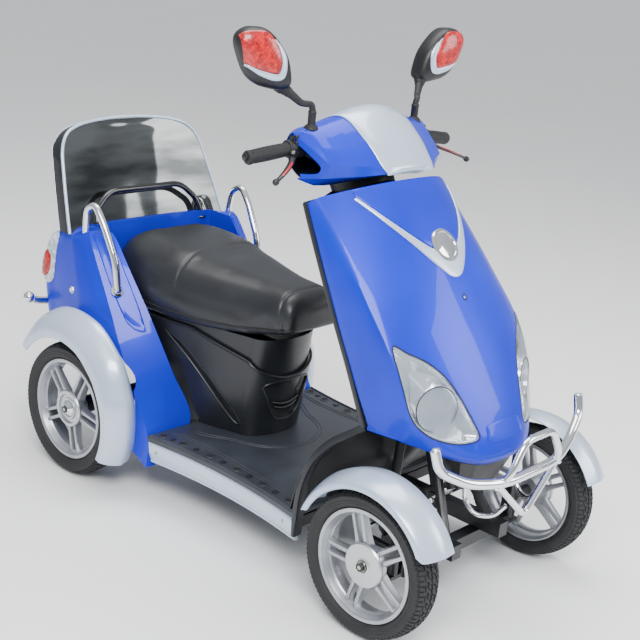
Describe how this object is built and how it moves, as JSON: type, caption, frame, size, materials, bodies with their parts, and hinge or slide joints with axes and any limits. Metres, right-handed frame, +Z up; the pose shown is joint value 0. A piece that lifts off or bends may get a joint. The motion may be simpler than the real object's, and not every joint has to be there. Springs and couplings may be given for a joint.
{
  "type": "four-wheeled electric mobility scooter",
  "caption": "Electric mobility scooter with blue bodywork, silver fenders, front shield, handlebar, saddle seat on a box, tall back panel and chrome front bumper.",
  "frame": {"origin": "on the floor, under the middle of the vehicle's bounding box", "axes": "+Z up, -Y forward, +X to the vehicle's left"},
  "size_m": [0.859, 1.6457, 1.378],
  "materials": {
    "rubber": "matt black moulded tyre rubber",
    "grip_rubber": "matt black ribbed grip rubber",
    "cast_aluminium": "satin silver cast aluminium",
    "black_steel": "satin black coated steel",
    "chrome": "bright chrome plate",
    "black_plastic": "grained black moulded plastic",
    "silver_paint": "gloss silver-white paint",
    "blue_paint": "gloss metallic blue paint",
    "lamp_glass": "clear lamp lens",
    "tail_glass": "clear and red lamp lens",
    "seat_vinyl": "smooth black seat vinyl",
    "smoked_gloss": "dark mirror-like gloss panel",
    "battery": "black battery case"
  },
  "bodies": {
    "chassis": {"frame": "black_steel", "front_beam": "black_steel", "rear_axle_motor": "black_steel", "floorboard": "black_plastic", "sill_left": "silver_paint", "sill_right": "silver_paint", "front_shield": "blue_paint", "headlamp_left": "lamp_glass", "headlamp_right": "lamp_glass", "v_trim": "silver_paint", "leg_shield": "black_plastic", "neck_cover": "black_plastic", "arch_lip_left": "black_plastic", "arch_lip_right": "black_plastic", "nose_undertray": "black_plastic", "front_bumper": "chrome", "rear_fender_left": "silver_paint", "rear_fender_right": "silver_paint", "rear_body": "blue_paint", "seat_box": "black_plastic", "battery_pack": "battery", "back_panel": "smoked_gloss", "back_panel_rim": "silver_paint", "back_hoop": "black_steel", "grab_loop_left": "chrome", "grab_loop_right": "chrome", "tail_lamp_left": "tail_glass", "tail_lamp_right": "tail_glass", "rear_bumper": "chrome"},
    "steering": {"steering_column": "black_steel", "handlebar_cowl": "blue_paint", "cowl_stripe": "silver_paint", "mirror_left": "black_plastic", "mirror_right": "black_plastic", "hand_control_left": "grip_rubber", "hand_control_right": "grip_rubber"},
    "front_left_knuckle": {"knuckle_left": "black_steel", "front_fender_left": "silver_paint"},
    "front_right_knuckle": {"knuckle_right": "black_steel", "front_fender_right": "silver_paint"},
    "steering_tie_rod": {"tie_rod": "chrome"},
    "front_left_wheel": {"tyre_front_left": "rubber", "rim_front_left": "cast_aluminium"},
    "front_right_wheel": {"tyre_front_right": "rubber", "rim_front_right": "cast_aluminium"},
    "rear_left_wheel": {"tyre_rear_left": "rubber", "rim_rear_left": "cast_aluminium"},
    "rear_right_wheel": {"tyre_rear_right": "rubber", "rim_rear_right": "cast_aluminium"},
    "seat": {"seat_cushion": "seat_vinyl"}
  },
  "joints": [
    {"name": "steering_turn", "type": "hinge", "parent": "chassis", "child": "steering", "pos_m": [0, -0.14972, 1.03], "axis": [0, 0.5, 0.866], "range_deg": [-30, 30]},
    {"name": "left_kingpin", "type": "hinge", "parent": "chassis", "child": "front_left_knuckle", "pos_m": [0.25, -0.61, 0.186], "axis": [0, 0, 1], "range_deg": [-30, 30]},
    {"name": "right_kingpin", "type": "hinge", "parent": "chassis", "child": "front_right_knuckle", "pos_m": [-0.25, -0.61, 0.186], "axis": [0, 0, 1], "range_deg": [-30, 30]},
    {"name": "tie_rod_pivot", "type": "hinge", "parent": "front_left_knuckle", "child": "steering_tie_rod", "pos_m": [0.25, -0.51, 0.206], "axis": [0, 0, 1], "range_deg": [-30, 30]},
    {"name": "front_left_spin", "type": "hinge", "parent": "front_left_knuckle", "child": "front_left_wheel", "pos_m": [0.338, -0.61, 0.186], "axis": [1, 0, 0], "continuous": true},
    {"name": "front_right_spin", "type": "hinge", "parent": "front_right_knuckle", "child": "front_right_wheel", "pos_m": [-0.338, -0.61, 0.186], "axis": [1, 0, 0], "continuous": true},
    {"name": "rear_left_spin", "type": "hinge", "parent": "chassis", "child": "rear_left_wheel", "pos_m": [0.362, 0.53, 0.198], "axis": [1, 0, 0], "continuous": true},
    {"name": "rear_right_spin", "type": "hinge", "parent": "chassis", "child": "rear_right_wheel", "pos_m": [-0.362, 0.53, 0.198], "axis": [1, 0, 0], "continuous": true},
    {"name": "seat_hinge", "type": "hinge", "parent": "chassis", "child": "seat", "pos_m": [0, -0.012, 0.502], "axis": [1, 0, 0], "range_deg": [0, 60]}
  ],
  "couplings": [
    {"joint": "left_kingpin", "follows": "steering_turn", "ratio": 1},
    {"joint": "right_kingpin", "follows": "steering_turn", "ratio": 1},
    {"joint": "tie_rod_pivot", "follows": "steering_turn", "ratio": -1}
  ]
}
